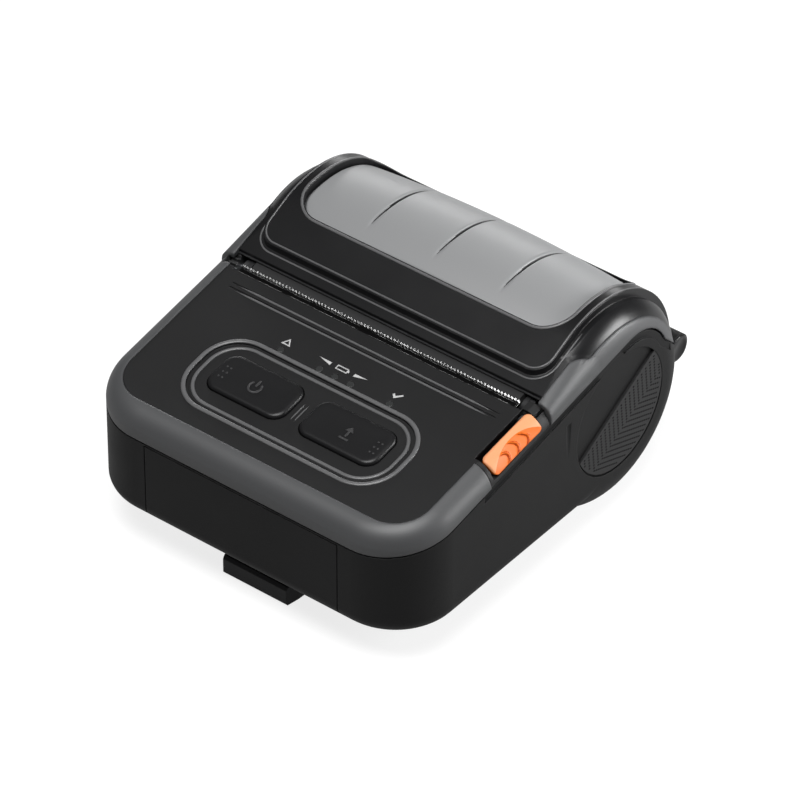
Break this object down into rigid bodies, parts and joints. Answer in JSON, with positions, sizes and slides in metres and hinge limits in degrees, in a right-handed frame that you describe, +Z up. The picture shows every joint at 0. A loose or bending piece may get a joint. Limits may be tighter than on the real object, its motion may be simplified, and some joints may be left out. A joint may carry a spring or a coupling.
{
  "type": "portable thermal printer",
  "caption": "Belt-worn thermal receipt printer: black housing, grey band, hinged paper cover with smoky window, sprung keys, orange release, battery pack and belt clip",
  "frame": {"origin": "centre of the bounding box seen from above, at the floor level under the belt clip's tip and the rear feet", "axes": "+X to the printer's right as its user reads the panel, +Y from the front face to the cover hinge, +Z up"},
  "size_m": [0.1, 0.1156, 0.0605],
  "materials": {
    "housing_black": "fine texture",
    "frame_grey": "satin paint",
    "panel_black": "fine texture",
    "trim_black": "satin gloss",
    "window_smoke": "smoky translucent plastic",
    "tear_steel": "blackened steel",
    "head_ceramic": "glazed strip",
    "sink_alu": "plain",
    "steel": "plain",
    "lens_clear": "diffusing plastic",
    "board_green": "solder mask",
    "brass": "plain",
    "rubber_black": "matt",
    "key_black": "satin",
    "release_orange": "satin",
    "gear_plastic": "acetal",
    "inner_black": "plain",
    "motor_steel": "plain"
  },
  "bodies": {
    "housing": {"lower_housing": "housing_black", "upper_frame": "frame_grey", "control_panel": "panel_black", "tear_bar": "tear_steel", "print_head": "head_ceramic", "heatsink": "sink_alu", "mech_frame": "steel", "drive_motor": "motor_steel", "status_lenses": "lens_clear", "key_board": "board_green", "main_board": "board_green", "battery_contacts": "brass", "port_sockets": "steel", "hinge_pin": "steel", "side_grips": "rubber_black", "feet": "rubber_black", "housing_screws": "steel", "clip_base": "inner_black", "clip_pin": "steel", "paper_sensor": "inner_black"},
    "cover": {"paper_cover": "frame_grey", "cover_trim": "trim_black", "window": "window_smoke", "platen_carrier": "inner_black", "platen_bushes": "gear_plastic"},
    "platen": {"platen_roller": "rubber_black", "platen_shaft": "steel", "platen_gear": "gear_plastic"},
    "idler": {"idler_gear": "gear_plastic"},
    "pinion": {"motor_gear": "brass"},
    "power_key": {"power_button": "key_black"},
    "feed_key": {"feed_button": "key_black"},
    "release": {"release_button": "release_orange"},
    "latch": {"latch_shaft": "steel"},
    "battery": {"battery_pack": "housing_black"},
    "clip": {"belt_clip": "inner_black"},
    "port_flap": {"port_cover": "rubber_black"}
  },
  "joints": [
    {"name": "cover_hinge", "type": "hinge", "parent": "housing", "child": "cover", "pos_m": [0, 0.054, 0.029], "axis": [-1, 0, 0], "range_deg": [0, 100]},
    {"name": "platen_spin", "type": "hinge", "parent": "cover", "child": "platen", "pos_m": [0, -0.0017, 0.0436], "axis": [1, 0, 0], "continuous": true},
    {"name": "idler_spin", "type": "hinge", "parent": "housing", "child": "idler", "pos_m": [0, -0.01, 0.0388], "axis": [1, 0, 0], "continuous": true},
    {"name": "pinion_spin", "type": "hinge", "parent": "housing", "child": "pinion", "pos_m": [0, -0.0176, 0.03525], "axis": [1, 0, 0], "continuous": true},
    {"name": "power_press", "type": "slide", "parent": "housing", "child": "power_key", "axis": [0, 0.1736, -0.9848], "range_m": [0, 0.0007], "stiffness_N_per_m": 200, "springref_m": -0.0005},
    {"name": "feed_press", "type": "slide", "parent": "housing", "child": "feed_key", "axis": [0, 0.1736, -0.9848], "range_m": [0, 0.0007], "stiffness_N_per_m": 200, "springref_m": -0.0005},
    {"name": "latch_turn", "type": "hinge", "parent": "housing", "child": "latch", "pos_m": [0, -0.0074, 0.028], "axis": [1, 0, 0], "range_deg": [0, 9], "stiffness_Nm_per_rad": 0.005, "springref_deg": -11.46},
    {"name": "release_slide", "type": "slide", "parent": "housing", "child": "release", "axis": [-1, 0, 0], "range_m": [0, 0.0014]},
    {"name": "battery_slide", "type": "slide", "parent": "housing", "child": "battery", "axis": [0, -1, 0], "range_m": [0, 0.05]},
    {"name": "clip_open", "type": "hinge", "parent": "housing", "child": "clip", "pos_m": [0, -0.007, 0.0052], "axis": [1, 0, 0], "range_deg": [0, 10], "stiffness_Nm_per_rad": 0.05, "springref_deg": -17.19},
    {"name": "port_flap_hinge", "type": "hinge", "parent": "housing", "child": "port_flap", "pos_m": [-0.0493, -0.036, 0.0199], "axis": [0, -1, 0], "range_deg": [0, 110], "stiffness_Nm_per_rad": 0.0005, "springref_deg": -5.73}
  ],
  "couplings": [
    {"joint": "idler_spin", "follows": "platen_spin", "ratio": -0.6},
    {"joint": "pinion_spin", "follows": "platen_spin", "ratio": 1.5},
    {"joint": "release_slide", "follows": "latch_turn", "m_per_rad": 0.0089127}
  ]
}
